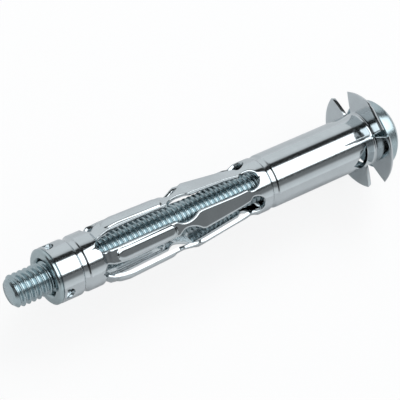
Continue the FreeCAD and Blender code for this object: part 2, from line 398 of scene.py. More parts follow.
def grid_quads(rows, columns, closed=False):
    """Quads of a grid of points in row order. A closed grid joins its last column to its first."""
    width = columns if closed else columns - 1
    row, column = np.meshgrid(np.arange(rows - 1), np.arange(width), indexing="ij")
    here = row * columns + column
    right = row * columns + (column + 1) % columns
    return np.stack([here, here + columns, right + columns, right], -1).reshape(-1, 4)


def turned_points(x, radius, angle):
    """Points at each x, at a radius and an angle about the X axis, broadcast to one array."""
    x, radius, angle = np.broadcast_arrays(x, radius, angle)
    points = np.stack([x, radius * np.cos(angle), radius * np.sin(angle)], -1)
    return points.reshape(-1, 3)


def make_object(name, patches):
    """One mesh object from (points in millimetres, quads) patches, with its doubles merged."""
    offset = np.cumsum([0] + [len(points) for points, _ in patches])
    points = np.concatenate([points for points, _ in patches]) * MM
    quads = np.concatenate([quads + start for (_, quads), start in zip(patches, offset)])
    mesh = bpy.data.meshes.new(name)
    mesh.from_pydata(points.tolist(), [], quads.tolist())
    obj = bpy.data.objects.new(name, mesh)
    bpy.context.scene.collection.objects.link(obj)
    clean_mesh(mesh, MERGE_DISTANCE)
    return obj


def clean_mesh(mesh, distance):
    """Merge doubles, drop faces with no area, and shade smooth."""
    work = bmesh.new()
    work.from_mesh(mesh)
    bmesh.ops.remove_doubles(work, verts=work.verts, dist=distance)
    bmesh.ops.dissolve_degenerate(work, dist=distance, edges=work.edges)
    work.to_mesh(mesh)
    work.free()
    mesh.polygons.foreach_set("use_smooth", np.ones(len(mesh.polygons), bool))
    mesh.update()


def smoothstep(low, high, value):
    """0 below low, 1 above high, and a smooth cubic between them."""
    share = np.clip((value - low) / (high - low), 0, 1)
    return share * share * (3 - 2 * share)


def circle_reach(x, centre, radius):
    """Half width of a circle at each x: the root of its radius squared less the distance squared."""
    return np.sqrt(np.clip(radius ** 2 - (x - centre) ** 2, 0, None))


def sleeve_profile():
    """The sleeve's outer side along the middle of a leg, as (x, radius) rows with falling x."""
    corners = [
        (FLANGE_JOIN, TUBE_RADIUS, 0), *ring_grooves(TUBE_GROOVE), *LEG_CORNERS,
        *ring_grooves(NUT_GROOVE), *[(SLEEVE_END + row, TUBE_RADIUS, 0) for row in END_ROWS],
    ]
    return rounded_path(corners, bend_rows=5)


def slot_half_width(x, slot_width):
    """Half the slot's width at each x: the largest of its straight part, end, hole and scallop."""
    half = slot_width / 2
    end = circle_reach(x, SLOT_LOW + half, half)
    straight = np.where((x > SLOT_LOW + half) & (x < SLOT_HOLE), half, 0)
    chord = SCALLOP_LENGTH / 2
    radius = (chord ** 2 + SCALLOP_DEPTH ** 2) / (2 * SCALLOP_DEPTH)
    bite = circle_reach(x, SCALLOP_CENTRE, radius) - (radius - SCALLOP_DEPTH)
    scallop = np.where(bite > 0, half + bite, 0)
    hole = circle_reach(x, SLOT_HOLE, SLOT_HOLE_RADIUS)
    return np.maximum.reduce([end, straight, scallop, hole])


def leg_patch(profile, stations, centre, sizes):
    """One leg's outer side, with the ring stretches beyond its ends.

    A leg is flat across, and its edges keep the slot's half width from the middle plane of each
    slot. The ring stretches are round. Both are worked out for the same share across, and
    blended along x. About two thirds of the columns span the bead evenly. The others crowd
    towards the leg's edges by a power, which fades to 1 at the patch's ends, where the columns
    meet the rings' even ones. The bead's height is its rise times the root of 1 less the square
    of 1 less t, where t grows from 0 at the outline of a stadium to 1 well inside it.
    """
    radius = np.interp(-stations, -profile[:, 0], profile[:, 1])
    half_pitch = math.pi / LEGS
    slot = slot_half_width(stations, sizes.slot_width / MM)
    round_edge = half_pitch - np.arcsin(slot / radius)
    flat_edge = (radius * math.sin(half_pitch) - slot) / math.cos(half_pitch)
    near_bead = smoothstep(BEAD_END - BEAD_APPROACH, BEAD_END, stations)
    near_bead = near_bead * smoothstep(-BEAD_START - BEAD_APPROACH, -BEAD_START, -stations)
    wanted = BEAD_WIDTH / 2 / np.maximum(flat_edge, LEAST_LEG_WIDTH)
    wanted = np.clip(wanted, LEAST_BEAD_SHARE, MOST_BEAD_SHARE)
    inner_share = BEAD_SHARE + (wanted - BEAD_SHARE) * near_bead
    across = np.linspace(-1, 1, LEG_COLUMNS + 1)
    column, side = np.abs(across), np.sign(across)
    inner = column / BEAD_SHARE * inner_share[:, None]
    crowd = smoothstep(stations[-1], stations[-1] + CROWD_RUN, stations)
    crowd = crowd * smoothstep(-stations[0], -stations[0] + CROWD_RUN, -stations)
    crowd = 1 + CROWDING * crowd
    beyond = 1 - np.clip((1 - column) / (1 - BEAD_SHARE), 0, 1) ** crowd[:, None]
    outer = inner_share[:, None] + beyond * (1 - inner_share[:, None])
    share = side * np.where(column <= BEAD_SHARE, inner, outer)
    angle = round_edge[:, None] * share
    tall, wide = radius[:, None] * np.cos(angle), radius[:, None] * np.sin(angle)
    blend = flatness(stations)[:, None]
    wide = wide + (flat_edge[:, None] * share - wide) * blend
    tall = tall + (radius[:, None] - tall) * blend
    low, high = BEAD_END + BEAD_WIDTH / 2, BEAD_START - BEAD_WIDTH / 2
    along = stations[:, None] - np.clip(stations[:, None], low, high)
    inside = np.clip((BEAD_WIDTH / 2 - np.hypot(along, wide)) / BEAD_EDGE, 0, 1)
    tall = tall + sizes.bead_rise / MM * np.sqrt(1 - (1 - inside) ** 2)
    x = np.broadcast_to(stations[:, None], tall.shape)
    y = tall * math.cos(centre) - wide * math.sin(centre)
    z = tall * math.sin(centre) + wide * math.cos(centre)
    return np.stack([x, y, z], -1).reshape(-1, 3), grid_quads(len(stations), LEG_COLUMNS + 1)


def leg_stations(profile, sizes):
    """Places along the legs: close together at bends, slot ends and bead ends, wider between."""
    turn = np.linspace(0, math.pi, ROUND_ROWS)
    half = sizes.slot_width / MM / 2
    parts = [
        profile[:, 0],
        SLOT_HOLE + SLOT_HOLE_RADIUS * np.cos(turn),
        SLOT_LOW + half + half * np.cos(turn[ROUND_ROWS // 2 - 1:]),
        np.arange(BEAD_END - BEAD_MARGIN, BEAD_END + BEAD_REACH, BEAD_STEP),
        np.arange(BEAD_START - BEAD_REACH, BEAD_START + BEAD_MARGIN, BEAD_STEP),
        np.arange(SCALLOP_CENTRE - SCALLOP_REACH, SCALLOP_CENTRE + SCALLOP_REACH, SCALLOP_STEP),
        np.arange(END_RING, LEG_ROOT, PLAIN_STEP),
    ]
    places = np.sort(np.concatenate(parts))[::-1]
    places = places[(places < PATCH_TOP) & (places > PATCH_BOTTOM)]
    keep = np.concatenate([[True], np.diff(places) < -LEAST_STEP])
    return np.concatenate([[PATCH_TOP], places[keep], [PATCH_BOTTOM]])


def flatness(x):
    """0 where the sleeve is round, 1 where its legs are flat across, and smooth cubics between."""
    at_root = smoothstep(-LEG_ROOT - FLAT_MARGIN, -ROOT_VALLEY + FLAT_MARGIN, -x)
    return at_root * smoothstep(END_RING - RING_MARGIN, PINCH, x)


def roll_edges(points, profile, slot_width):
    """Roll over the outer edges round the slots and at the sleeve's end, as a punch leaves them.

    The distance to the edge is the least of the distances to the slot's stadium, its hole, the
    circle of its scallop and the sleeve's end. Within the roll's width the surface drops as a
    quarter of an ellipse. Points well below the profile are on the sheet's inner side and stay.
    """
    x, radius = points[:, 0], np.hypot(points[:, 1], points[:, 2])
    turn = np.degrees(np.arctan2(points[:, 2], points[:, 1])) % (360 / LEGS) - 180 / LEGS
    side = np.abs(radius * np.sin(np.radians(turn)))
    across = np.cos(math.pi / LEGS - np.radians(np.abs(turn)))
    height = radius * (1 + (across - 1) * flatness(x)) - np.interp(-x, -profile[:, 0], profile[:, 1])
    half = slot_width / 2
    straight = np.hypot(x - np.clip(x, SLOT_LOW + half, SLOT_HOLE), side) - half
    hole = np.hypot(x - SLOT_HOLE, side) - SLOT_HOLE_RADIUS
    chord = SCALLOP_LENGTH / 2
    reach = (chord ** 2 + SCALLOP_DEPTH ** 2) / (2 * SCALLOP_DEPTH)
    scallop = np.hypot(x - SCALLOP_CENTRE, side + reach - SCALLOP_DEPTH - half) - reach
    gap = np.clip(np.minimum.reduce([straight, hole, scallop, x - SLEEVE_END]) / EDGE_ROLL, 0, 1)
    drop = EDGE_DROP * (1 - np.sqrt(1 - (1 - gap) ** 2)) * (height > OUTER_SIDE)
    share = (radius - drop) / radius
    return points * np.stack([np.ones_like(share), share, share], 1)


def bend_legs(points):
    """Turn and lift each leg between its ends, with nothing moved at the two rings.

    The turn grows from both rings by smooth cubics. The lift is straight between its heights at
    the crease and at the bulge, and from each of them to the ring beside it.
    """
    x, angle = points[:, 0], np.arctan2(points[:, 2], points[:, 1])
    leg = np.round(angle / (2 * math.pi / LEGS)).astype(int) % LEGS
    turn, at_crease, at_bulge = np.array(LEG_BENDS).T[:, leg]
    reach = smoothstep(-LEG_ROOT, -LEG_ROOT + ROOT_BEND_RUN, -x)
    reach = reach * smoothstep(END_RING, END_RING + RING_BEND_RUN, x)
    angle = angle + np.radians(turn) * reach
    rise = at_crease * np.interp(x, (BULGE, CREASE, LEG_ROOT), (0, 1, 0))
    rise = rise + at_bulge * np.interp(x, (END_RING, BULGE, NECK, CREASE), (0, 1, 1, 0))
    radius = np.hypot(points[:, 1], points[:, 2]) + rise
    return np.stack([x, radius * np.cos(angle), radius * np.sin(angle)], 1)


def ring_patch(x, radius):
    """A closed ring of the tube with the legs' own columns."""
    angle = math.pi / LEGS + np.radians(COLUMN_STEP) * np.arange(LEGS * LEG_COLUMNS)
    lift = seam_dip(x[:, None], np.degrees(angle))
    points = turned_points(x[:, None], radius[:, None] + lift, angle)
    return points, grid_quads(len(x), LEGS * LEG_COLUMNS, True)


def seam_dip(x, degrees):
    """A fine dip along the rolled sheet's seam: a narrow bell across it, fading along the tube."""
    off = (degrees - SEAM_ANGLE + 180) % 360 - 180
    bell = np.exp(-(off / SEAM_HALF_ANGLE) ** 2)
    return -SEAM_DEPTH * bell * smoothstep(-SEAM_LENGTH, -SEAM_LENGTH + SEAM_FADE, x)


def flange_patch(sector):
    """One petal with its stretch of tube.

    The path runs from the rim down the wall side, round the fold and along the tube. Each row
    spans the sector between two splits, less the notch's half angle, which grows from nothing
    as an ellipse at the notch's foot and then in a straight line to the rim.
    """
    low_split = PETAL_SPLITS[sector]
    following = (sector + 1) % PETALS
    high_split = PETAL_SPLITS[following] + (360 if following == 0 else 0)
    columns = round((high_split - low_split) / COLUMN_STEP) + 1
    corners = [(0, FLANGE_RADIUS, 0), (0, TUBE_RADIUS, FOLD_RADIUS), (FLANGE_JOIN, TUBE_RADIUS, 0)]
    fold = rounded_path(corners, FOLD_ROWS)[1:-1]
    fold_top = TUBE_RADIUS + FOLD_RADIUS
    rim = np.linspace(FLANGE_RADIUS, fold_top + RIM_GAP, RIM_ROWS)
    x = np.concatenate([np.zeros(RIM_ROWS), fold[:, 0], TUBE_ROWS])
    radius = np.concatenate([rim, fold[:, 1], np.full(len(TUBE_ROWS), TUBE_RADIUS)])
    travel = (radius - TUBE_RADIUS) + (x + FOLD_RADIUS)
    rise = np.clip(travel / (2 * NOTCH_ROUND), 0, 1)
    ellipse = np.sqrt(1 - (1 - rise) ** 2)
    outward = np.clip((radius - fold_top) / (FLANGE_RADIUS - fold_top), 0, 1)
    edges = []
    for split, side, angle in ((sector, 1, low_split), (following, -1, high_split)):
        notch = NOTCH_BASES[split] + (NOTCH_RIMS[split] - NOTCH_BASES[split]) * outward
        edges.append(angle + side * notch * ellipse)
    share = np.linspace(0, 1, columns)
    degrees = edges[0][:, None] + (edges[1] - edges[0])[:, None] * share
    lift = seam_dip(x[:, None], degrees) * (radius[:, None] < TUBE_RADIUS + PATCH_GAP)
    points = turned_points(x[:, None], radius[:, None] + lift, np.radians(degrees))
    return points, grid_quads(len(x), columns)


def shape_flange(points, petal_lean):
    """Slope the rim in towards its head side, and bend the near petal towards the wall.

    The bend grows in a straight line with the distance beyond a chord of the flange.
    """
    points = points.copy()
    radius = np.hypot(points[:, 1], points[:, 2])
    degrees = np.degrees(np.arctan2(points[:, 2], points[:, 1]))
    back = (points[:, 0] > RIM_BACK) & (radius > FLANGE_RADIUS - RIM_MARGIN)
    points[back, 1:] *= 1 - RIM_SLOPE / FLANGE_RADIUS
    near = (degrees > PETAL_SPLITS[0]) & (degrees < PETAL_SPLITS[1])
    forward = radius * np.cos(np.radians(degrees - LEAN_TOWARDS))
    bend = np.clip((forward - LEAN_START) / (FLANGE_RADIUS - LEAN_START), 0, 1)
    points[:, 0] -= petal_lean * bend * near
    return points


def tongue(angle):
    """The tongue lanced from an end ring window and pushed in: a bent slab of eight corners."""
    root, tip = TAB_START - TAB_ROOT, TAB_START + TAB_LENGTH - TAB_CLEARANCE
    tip_low = TAB_LOW - TAB_PUSH
    tip_top = tip_low + TAB_THICKNESS
    section = np.array([(root, TAB_TOP), (root, TAB_LOW), (tip, tip_low), (tip, tip_top)])
    half = TAB_WIDTH / 2 - TAB_CLEARANCE
    local = np.concatenate([np.insert(section, 2, side, 1) for side in (-half, half)])
    y = local[:, 1] * math.cos(angle) - local[:, 2] * math.sin(angle)
    z = local[:, 1] * math.sin(angle) + local[:, 2] * math.cos(angle)
    quads = [(0, 1, 2, 3), (7, 6, 5, 4), (0, 4, 5, 1), (1, 5, 6, 2), (2, 6, 7, 3), (3, 7, 4, 0)]
    return np.stack([local[:, 0], y, z], 1), np.array(quads)


def prism(outline, inner, outer, angle, name):
    """A cutter: an outline of (x, sideways) points pushed out from one height to another.

    It is made on +Y and turned by an angle about the X axis.
    """
    outline = np.array(outline, float)
    count = len(outline)
    local = np.concatenate([np.insert(outline, 1, inner, 1), np.insert(outline, 1, outer, 1)])
    cosine, sine = math.cos(angle), math.sin(angle)
    turn = np.array([[1, 0, 0], [0, cosine, sine], [0, -sine, cosine]])
    mesh = bpy.data.meshes.new(name)
    sides = [(k, (k + 1) % count, (k + 1) % count + count, k + count) for k in range(count)]
    faces = [tuple(range(count))[::-1], tuple(range(count, 2 * count)), *sides]
    mesh.from_pydata((local @ turn * MM).tolist(), [], faces)
    obj = bpy.data.objects.new(name, mesh)
    bpy.context.scene.collection.objects.link(obj)
    clean_mesh(mesh, CUTTER_MERGE)
    outward_normals(mesh)
    return obj


def outward_normals(mesh):
    """Turn every face of a closed shell outwards."""
    work = bmesh.new()
    work.from_mesh(mesh)
    bmesh.ops.recalc_face_normals(work, faces=work.faces)
    work.to_mesh(mesh)
    work.free()


def join_mesh(obj, patch):
    """Add a closed patch in millimetres to an object's mesh."""
    points, quads = patch
    extra = bpy.data.meshes.new("extra")
    extra.from_pydata((points * MM).tolist(), [], quads.tolist())
    outward_normals(extra)
    work = bmesh.new()
    work.from_mesh(obj.data)
    work.from_mesh(extra)
    work.to_mesh(obj.data)
    work.free()
    bpy.data.meshes.remove(extra)


def cut_with(obj, cutters):
    """Subtract closed cutters from an object and apply the result."""
    for cutter in cutters:
        boolean = obj.modifiers.new("cut", "BOOLEAN")
        boolean.operation = "DIFFERENCE"
        boolean.solver = "EXACT"
        boolean.object = cutter
    apply_modifiers(obj)
    for cutter in cutters:
        bpy.data.objects.remove(cutter)


def apply_modifiers(obj):
    """Replace an object's mesh by its evaluated one."""
    graph = bpy.context.evaluated_depsgraph_get()
    mesh = bpy.data.meshes.new_from_object(obj.evaluated_get(graph))
    obj.modifiers.clear()
    old = obj.data
    obj.data = mesh
    bpy.data.meshes.remove(old)


def stadium(start, end, width):
    """A slot outline as (x, sideways) points: two half circles, with straight sides between."""
    half = width / 2
    turn = np.linspace(-math.pi / 2, math.pi / 2, TAB_END_POINTS)
    high = np.stack([end - half + half * np.cos(turn), half * np.sin(turn)], 1)
    low = np.stack([start + half - half * np.cos(turn), -half * np.sin(turn)], 1)
    return np.concatenate([high, low])


def finish_edges(obj, width):
    """Round the sharp edges and let the large faces lead the shading."""
    bevel = obj.modifiers.new("edges", "BEVEL")
    bevel.width = width
    bevel.segments = 2
    bevel.limit_method = "ANGLE"
    bevel.angle_limit = SHARP_ANGLE
    normals = obj.modifiers.new("shading", "WEIGHTED_NORMAL")
    normals.weight = 80
    normals.keep_sharp = False


def noise_group():
    """Node group: faint clouds and fine specks of zinc plating, from a position."""
    group = bpy.data.node_groups.new("zinc_surface", "ShaderNodeTree")
    face = group.interface
    face.new_socket("Position", in_out="INPUT", socket_type="NodeSocketVector")
    face.new_socket("Colour", in_out="INPUT", socket_type="NodeSocketColor")
    for name in ("Roughness", "Cloud Size", "Speck Size"):
        face.new_socket(name, in_out="INPUT", socket_type="NodeSocketFloat")
    face.new_socket("Colour", in_out="OUTPUT", socket_type="NodeSocketColor")
    face.new_socket("Roughness", in_out="OUTPUT", socket_type="NodeSocketFloat")
    face.new_socket("Height", in_out="OUTPUT", socket_type="NodeSocketFloat")
    nodes, links = group.nodes, group.links
    enter, leave = nodes.new("NodeGroupInput"), nodes.new("NodeGroupOutput")
    clouds, specks = nodes.new("ShaderNodeTexNoise"), nodes.new("ShaderNodeTexNoise")
    clouds.inputs["Detail"].default_value = 4
    specks.inputs["Detail"].default_value = 2
    for node, size in ((clouds, "Cloud Size"), (specks, "Speck Size")):
        links.new(enter.outputs["Position"], node.inputs["Vector"])
        links.new(enter.outputs[size], node.inputs["Scale"])
    shade = nodes.new("ShaderNodeMapRange")
    shade.inputs["To Min"].default_value = CLOUD_SHADES[0]
    shade.inputs["To Max"].default_value = CLOUD_SHADES[1]
    links.new(clouds.outputs["Fac"], shade.inputs["Value"])
    tint = nodes.new("ShaderNodeVectorMath")
    tint.operation = "SCALE"
    links.new(enter.outputs["Colour"], tint.inputs[0])
    links.new(shade.outputs["Result"], tint.inputs["Scale"])
    links.new(tint.outputs["Vector"], leave.inputs["Colour"])
    gloss = nodes.new("ShaderNodeMath")
    gloss.operation = "MULTIPLY_ADD"
    gloss.inputs[1].default_value = GLOSS_SPREAD
    links.new(specks.outputs["Fac"], gloss.inputs[0])
    links.new(enter.outputs["Roughness"], gloss.inputs[2])
    links.new(gloss.outputs["Value"], leave.inputs["Roughness"])
    links.new(specks.outputs["Fac"], leave.inputs["Height"])
    return group


def plating(name, colour, roughness, group):
    """Make a zinc plated metal with the shared surface group."""
    material = bpy.data.materials.new(name)
    material.use_nodes = True
    nodes, links = material.node_tree.nodes, material.node_tree.links
    shader = nodes["Principled BSDF"]
    shader.inputs["Metallic"].default_value = 1.0
    place = nodes.new("ShaderNodeTexCoord")
    surface = nodes.new("ShaderNodeGroup")
    surface.node_tree = group
    surface.inputs["Colour"].default_value = (*colour, 1)
    surface.inputs["Roughness"].default_value = roughness - GLOSS_SPREAD / 2
    surface.inputs["Cloud Size"].default_value = CLOUD_SIZE
    surface.inputs["Speck Size"].default_value = SPECK_SIZE
    links.new(place.outputs["Object"], surface.inputs["Position"])
    links.new(surface.outputs["Colour"], shader.inputs["Base Color"])
    links.new(surface.outputs["Roughness"], shader.inputs["Roughness"])
    bump = nodes.new("ShaderNodeBump")
    bump.inputs["Strength"].default_value = SPECK_BUMP
    bump.inputs["Distance"].default_value = SPECK_HEIGHT
    links.new(surface.outputs["Height"], bump.inputs["Height"])
    links.new(bump.outputs["Normal"], shader.inputs["Normal"])


def put_on(obj, material, body, slot, *nodes):
    """Give a piece its material and its body, and hide the CAD nodes that it stands for."""
    obj.data.materials.clear()
    obj.data.materials.append(material)
    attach(obj, body)
    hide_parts(*nodes)


class ANCHOR_OT_plating(bpy.types.Operator):
    """Make the plated metals that the pieces share"""

    bl_idname = "anchor.plating"
    bl_label = "Plating"

    def execute(self, context):
        finish = context.scene.anchor_finish
        group = noise_group()
        plating("sleeve_zinc", finish.sleeve_colour, finish.roughness, group)
        plating("nut_zinc", finish.nut_colour, finish.roughness + NUT_ROUGHER, group)
        # The screw's metal carries painted shade: its colour is the sleeve's zinc made darker for the
        # shadow inside the sleeve
        plating("screw_zinc_shaded", finish.screw_shaded_colour, finish.roughness + SCREW_ROUGHER, group)
        return {"FINISHED"}


class ANCHOR_OT_sleeve(bpy.types.Operator):
    """Build the sheet sleeve with its petals, legs, beads and end ring"""

    bl_idname = "anchor.sleeve"
    bl_label = "Sleeve"

    def execute(self, context):
        sizes = context.scene.anchor_sizes
        profile = sleeve_profile()
        stations = leg_stations(profile, sizes)
        above = profile[profile[:, 0] > PATCH_TOP + PATCH_GAP]
        above = np.concatenate([above, [[PATCH_TOP, TUBE_RADIUS]]])
        below = profile[profile[:, 0] < PATCH_BOTTOM - PATCH_GAP]
        below = np.concatenate([[[PATCH_BOTTOM, TUBE_RADIUS]], below])
        patches = [flange_patch(sector) for sector in range(PETALS)]
        patches.append(ring_patch(above[:, 0], above[:, 1]))
        for number in range(LEGS):
            patches.append(leg_patch(profile, stations, number * 2 * math.pi / LEGS, sizes))
        patches.append(ring_patch(below[:, 0], below[:, 1]))
        sleeve = make_object("sheet_sleeve", patches)
        thick = sleeve.modifiers.new("sheet", "SOLIDIFY")
        thick.thickness = sizes.wall
        thick.offset = -1
        apply_modifiers(sleeve)
        tooth = [(-TOOTH_STRIP, -TOOTH_HALF_WIDTH), (-TOOTH_STRIP - TOOTH_DEPTH, TOOTH_POINT),
                 (-TOOTH_STRIP, TOOTH_HALF_WIDTH)]
        cutters = [
            prism(tooth, *TOOTH_CUT_RADII, math.radians(angle), "tooth_cut") for angle in TOOTH_ANGLES]
        window = stadium(TAB_START - TAB_WIDTH, TAB_START + TAB_LENGTH, TAB_WIDTH)
        window[:, 0] = np.maximum(window[:, 0], TAB_START)
        cutters += [
            prism(window, *TAB_CUT_RADII, math.radians(angle), "tab_cut") for angle in TAB_ANGLES]
        cut_with(sleeve, cutters)
        points = np.empty(len(sleeve.data.vertices) * 3)
        sleeve.data.vertices.foreach_get("co", points)
        points = roll_edges(points.reshape(-1, 3) / MM, profile, sizes.slot_width / MM)
        points = shape_flange(bend_legs(points), sizes.petal_lean / MM)
        sleeve.data.vertices.foreach_set("co", (points * MM).ravel())
        for angle in TAB_ANGLES:
            join_mesh(sleeve, tongue(math.radians(angle)))
        finish_edges(sleeve, sizes.edge_round)
        put_on(sleeve, bpy.data.materials["sleeve_zinc"], "anchor", "sleeve", "sleeve")
        return {"FINISHED"}


def nut_outline(sizes):
    """The nut's outline as (x, radius) rows, from the bore round the face and the rim to the body."""
    bore = sizes.thread_radius / MM + BORE_CLEARANCE
    body = TUBE_RADIUS - sizes.wall / MM - BODY_CLEARANCE - BODY_STEP
    return rounded_path([
        (NUT_INNER, bore, 0), (NUT_FACE + BORE_BEVEL, bore, 0),
        (NUT_FACE, bore + BORE_BEVEL, BORE_BEND),
        (NUT_FACE, NUT_RADIUS - FACE_IN, FACE_BEND), (NUT_FACE + FACE_RUN, NUT_RADIUS, FACE_BEND),
        (SLEEVE_END - JOINT_RUN, NUT_RADIUS, JOINT_BEND),
        (SLEEVE_END - JOINT_GAP, NUT_RADIUS - JOINT_DROP, 0), (SLEEVE_END - JOINT_GAP, body, 0),
        (SLEEVE_END + BODY_ROW, body, 0), (NUT_INNER, body, 0), (NUT_INNER, bore, 0),
    ], bend_rows=6)


class ANCHOR_OT_nut(bpy.types.Operator):
    """Build the end nut"""

    bl_idname = "anchor.nut"
    bl_label = "End nut"

    def execute(self, context):
        sizes = context.scene.anchor_sizes
        outline = nut_outline(sizes)
        angle = np.linspace(0, 2 * math.pi, NUT_COLUMNS + 1)[:-1]
        points = turned_points(outline[:, :1], outline[:, 1:], angle)
        nut = make_object("end_nut", [(points, grid_quads(len(outline), NUT_COLUMNS, True))])
        outward_normals(nut.data)
        finish_edges(nut, sizes.edge_round)
        put_on(nut, bpy.data.materials["nut_zinc"], "anchor", "nut", "nut")
        return {"FINISHED"}


def thread_patch(sizes):
    """The threaded rod as a sheared grid.

    Rows follow the helix: x is the row's place plus the pitch times the share of a turn, held
    between the two ends. The radius is the outer radius less the depth times a ramp of the
    distance to the nearest crest, and no larger than the tip's cone. It fades to the shank's
    radius at the thread's stop.
    """
    pitch = sizes.thread_pitch / MM
    outer, depth = sizes.thread_radius / MM, sizes.thread_depth / MM
    rows = int(math.ceil((THREAD_STOP - SCREW_TIP) / pitch * THREAD_ROWS)) + 2 * THREAD_ROWS
    place = SCREW_TIP - pitch + np.arange(rows + 1) * pitch / THREAD_ROWS
    share = np.arange(SCREW_COLUMNS) / SCREW_COLUMNS
    x = place[:, None] + pitch * share
    phase = (np.arange(rows + 1) / THREAD_ROWS) % 1
    off_crest = np.abs((phase + 0.5) % 1 - 0.5)
    ramp = np.clip((off_crest - CREST_SHARE) / FLANK_SHARE, 0, 1)[:, None]
    fade = smoothstep(THREAD_STOP, THREAD_STOP - THREAD_FADE * pitch, x)
    radius = SHANK_RADIUS + (outer - depth * ramp - SHANK_RADIUS) * fade
    radius = np.minimum(radius, outer - TIP_BEVEL + (x - SCREW_TIP))
    x = np.clip(x, SCREW_TIP, THREAD_STOP)
    radius = np.where(x <= SCREW_TIP, outer - TIP_BEVEL, radius)
    points = turned_points(x, radius, 2 * math.pi * share)
    quads = grid_quads(rows + 1, SCREW_COLUMNS)
    row = np.arange(rows - THREAD_ROWS)
    last = row * SCREW_COLUMNS + SCREW_COLUMNS - 1
    first = (row + THREAD_ROWS) * SCREW_COLUMNS
    seam = np.stack([last, last + SCREW_COLUMNS, first + SCREW_COLUMNS, first], 1)
    return points, np.concatenate([quads, seam])


def head_outline():
    """The shank, the head's underside and its dome, as (x, radius) rows.

    The dome is an arc through the head's side and top. Its radius is the sum of the squares of
    the head's radius and of the dome's rise, over twice the rise.
    """
    rise = HEAD_TOP - HEAD_SIDE
    dome_radius = (HEAD_RADIUS ** 2 + rise ** 2) / (2 * rise)
    sweep = np.linspace(math.asin(HEAD_RADIUS / dome_radius), 0, DOME_ROWS)
    dome = np.stack([HEAD_TOP - dome_radius * (1 - np.cos(sweep)), dome_radius * np.sin(sweep)], 1)
    under = rounded_path([
        (THREAD_STOP, SHANK_RADIUS, 0), (SHANK_ROW, SHANK_RADIUS, 0),
        (HEAD_SEAT, SHANK_RADIUS, HEAD_FILLET), (HEAD_SEAT, HEAD_RADIUS, HEAD_RIM),
        (HEAD_SIDE, HEAD_RADIUS, 0),
    ], bend_rows=7)
    return np.concatenate([under[:-1], dome])


class ANCHOR_OT_screw(bpy.types.Operator):
    """Build the screw with its thread, domed head and cross recess"""

    bl_idname = "anchor.screw"
    bl_label = "Screw"

    def execute(self, context):
        sizes = context.scene.anchor_sizes
        angle = 2 * math.pi * np.arange(SCREW_COLUMNS) / SCREW_COLUMNS
        tip_radius = sizes.thread_radius / MM - TIP_BEVEL
        tip = np.array([[SCREW_TIP, 0], [SCREW_TIP, TIP_ROW], [SCREW_TIP, tip_radius]])
        patches = [thread_patch(sizes)]
        for outline in (tip, head_outline()):
            points = turned_points(outline[:, :1], outline[:, 1:], angle)
            patches.append((points, grid_quads(len(outline), SCREW_COLUMNS, True)))
        screw = make_object("dome_screw", patches)
        outward_normals(screw.data)
        top, floor = HEAD_TOP + RECESS_ABOVE, HEAD_TOP - RECESS_DEPTH
        wing = [(top, -RECESS_TOP), (floor, -RECESS_FOOT), (floor, RECESS_FOOT), (top, RECESS_TOP)]
        sides = (-RECESS_HALF_WIDTH, RECESS_HALF_WIDTH)
        cut_with(screw, [prism(wing, *sides, turn, "wing_cut") for turn in (0, math.pi / 2)])
        finish_edges(screw, sizes.edge_round)
        put_on(screw, bpy.data.materials["screw_zinc_shaded"], "screw", "screw", "screw")
        return {"FINISHED"}


class ANCHOR_OT_stage(bpy.types.Operator):
    """Set up the floor, the light and the camera"""

    bl_idname = "anchor.stage"
    bl_label = "Stage"

    def execute(self, context):
        stage = context.scene.anchor_stage
        make_camera(stage)
        make_world(stage)
        make_floor(stage)
        make_lamp()
        context.scene.view_settings.view_transform = "Standard"
        return {"FINISHED"}


def make_camera(stage):
    """The camera from the measured angle between the axis and the line of sight, and the roll."""
    tilt = stage.camera_tilt
    axis = Vector((1, 0, 0))
    up_side = Vector((0, math.cos(ROLL), math.sin(ROLL)))
    near_side = Vector((0, -math.sin(ROLL), math.cos(ROLL)))
    forward = axis * math.cos(tilt) - near_side * math.sin(tilt)
    along = axis * math.sin(tilt) + near_side * math.cos(tilt)
    right = along * math.cos(IMAGE_ROLL) - up_side * math.sin(IMAGE_ROLL)
    up = along * math.sin(IMAGE_ROLL) + up_side * math.cos(IMAGE_ROLL)
    target = axis * VIEW_CENTRE * MM + up_side * VIEW_LIFT * MM
    data = bpy.data.cameras.new("camera")
    data.lens = stage.camera_lens
    data.sensor_width = 36
    data.clip_start = 0.01
    camera = bpy.data.objects.new("camera", data)
    bpy.context.scene.collection.objects.link(camera)
    turn = Matrix((right, up, -forward)).transposed().to_4x4()
    camera.matrix_world = Matrix.Translation(target - forward * stage.camera_distance) @ turn
    bpy.context.scene.camera = camera


